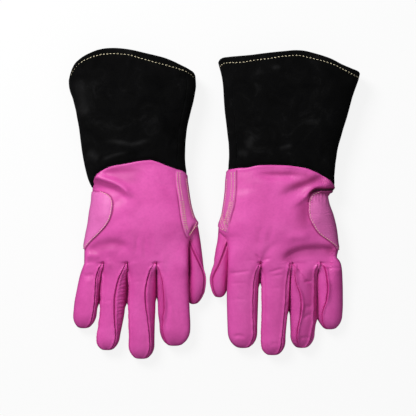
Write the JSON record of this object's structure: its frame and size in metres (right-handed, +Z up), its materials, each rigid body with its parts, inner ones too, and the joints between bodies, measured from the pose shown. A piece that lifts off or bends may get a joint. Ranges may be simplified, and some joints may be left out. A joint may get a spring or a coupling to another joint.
{
  "type": "pair of welding gloves",
  "caption": "Pair of gauntlet welding gloves in smooth pink leather with flared black suede cuffs, lying palm down with separate bending fingers and thumbs.",
  "frame": {"origin": "on the resting plane, under the middle of the pair's bounding box", "axes": "+Y from the fingertips towards the cuff mouths, +X from the right-hand glove to the left-hand glove, +Z up out of the backs of the hands"},
  "size_m": [0.3194, 0.3406, 0.048],
  "materials": {
    "hand_leather": "satin",
    "cuff_suede": "matte",
    "thread": "matte"
  },
  "bodies": {
    "right_hand": {"right_back_panel": "hand_leather", "right_palm_panel": "hand_leather", "right_side_patch": "hand_leather", "right_thumb_strap": "hand_leather", "right_patch_thread": "thread", "right_strap_thread": "thread", "right_wrist_welt": "hand_leather"},
    "right_cuff": {"right_cuff_back": "cuff_suede", "right_cuff_palm": "cuff_suede", "right_hem_thread": "thread"},
    "right_thumb": {"right_thumb_outer": "hand_leather", "right_thumb_inner": "hand_leather"},
    "right_index": {"right_index_back": "hand_leather", "right_index_palm": "hand_leather", "right_index_fourchette_little_side": "hand_leather"},
    "right_middle": {"right_middle_back": "hand_leather", "right_middle_palm": "hand_leather", "right_middle_fourchette_thumb_side": "hand_leather", "right_middle_fourchette_little_side": "hand_leather"},
    "right_ring": {"right_ring_back": "hand_leather", "right_ring_palm": "hand_leather", "right_ring_fourchette_thumb_side": "hand_leather", "right_ring_fourchette_little_side": "hand_leather"},
    "right_little": {"right_little_back": "hand_leather", "right_little_palm": "hand_leather", "right_little_fourchette_thumb_side": "hand_leather"},
    "left_hand": {"left_back_panel": "hand_leather", "left_palm_panel": "hand_leather", "left_side_patch": "hand_leather", "left_thumb_strap": "hand_leather", "left_patch_thread": "thread", "left_strap_thread": "thread", "left_wrist_welt": "hand_leather"},
    "left_cuff": {"left_cuff_back": "cuff_suede", "left_cuff_palm": "cuff_suede", "left_hem_thread": "thread"},
    "left_thumb": {"left_thumb_outer": "hand_leather", "left_thumb_inner": "hand_leather"},
    "left_index": {"left_index_back": "hand_leather", "left_index_palm": "hand_leather", "left_index_fourchette_little_side": "hand_leather"},
    "left_middle": {"left_middle_back": "hand_leather", "left_middle_palm": "hand_leather", "left_middle_fourchette_thumb_side": "hand_leather", "left_middle_fourchette_little_side": "hand_leather"},
    "left_ring": {"left_ring_back": "hand_leather", "left_ring_palm": "hand_leather", "left_ring_fourchette_thumb_side": "hand_leather", "left_ring_fourchette_little_side": "hand_leather"},
    "left_little": {"left_little_back": "hand_leather", "left_little_palm": "hand_leather", "left_little_fourchette_thumb_side": "hand_leather"}
  },
  "joints": [
    {"name": "left_glove_apart", "type": "slide", "parent": "right_hand", "child": "left_hand", "axis": [1, 0, 0], "range_m": [0, 0.06]},
    {"name": "right_wrist", "type": "hinge", "parent": "right_hand", "child": "right_cuff", "pos_m": [-0.08719, 0.03645, 0.017], "axis": [1, 0, 0], "range_deg": [-15, 25], "deforming": ["right_wrist_welt"]},
    {"name": "right_thumb_bend", "type": "hinge", "parent": "right_hand", "child": "right_thumb", "pos_m": [-0.02482, -0.02625, 0.0006], "axis": [1, 0, 0], "range_deg": [-5, 40]},
    {"name": "right_index_bend", "type": "hinge", "parent": "right_hand", "child": "right_index", "pos_m": [-0.0488, -0.0631, 0.0006], "axis": [1, 0, 0], "range_deg": [-6, 70]},
    {"name": "right_middle_bend", "type": "hinge", "parent": "right_hand", "child": "right_middle", "pos_m": [-0.08147, -0.0631, 0.0006], "axis": [1, 0, 0], "range_deg": [-6, 70]},
    {"name": "right_ring_bend", "type": "hinge", "parent": "right_hand", "child": "right_ring", "pos_m": [-0.11029, -0.0631, 0.0006], "axis": [1, 0, 0], "range_deg": [-6, 70]},
    {"name": "right_little_bend", "type": "hinge", "parent": "right_hand", "child": "right_little", "pos_m": [-0.13361, -0.0631, 0.0006], "axis": [1, 0, 0], "range_deg": [-6, 70]},
    {"name": "left_wrist", "type": "hinge", "parent": "left_hand", "child": "left_cuff", "pos_m": [0.07231, 0.03645, 0.017], "axis": [1, 0, 0], "range_deg": [-15, 25], "deforming": ["left_wrist_welt"]},
    {"name": "left_thumb_bend", "type": "hinge", "parent": "left_hand", "child": "left_thumb", "pos_m": [0.00796, -0.02625, 0.0006], "axis": [1, 0, 0], "range_deg": [-5, 40]},
    {"name": "left_index_bend", "type": "hinge", "parent": "left_hand", "child": "left_index", "pos_m": [0.03161, -0.0631, 0.0006], "axis": [1, 0, 0], "range_deg": [-6, 70]},
    {"name": "left_middle_bend", "type": "hinge", "parent": "left_hand", "child": "left_middle", "pos_m": [0.06615, -0.0631, 0.0006], "axis": [1, 0, 0], "range_deg": [-6, 70]},
    {"name": "left_ring_bend", "type": "hinge", "parent": "left_hand", "child": "left_ring", "pos_m": [0.09805, -0.0631, 0.0006], "axis": [1, 0, 0], "range_deg": [-6, 70]},
    {"name": "left_little_bend", "type": "hinge", "parent": "left_hand", "child": "left_little", "pos_m": [0.12665, -0.0631, 0.0006], "axis": [1, 0, 0], "range_deg": [-6, 70]}
  ]
}
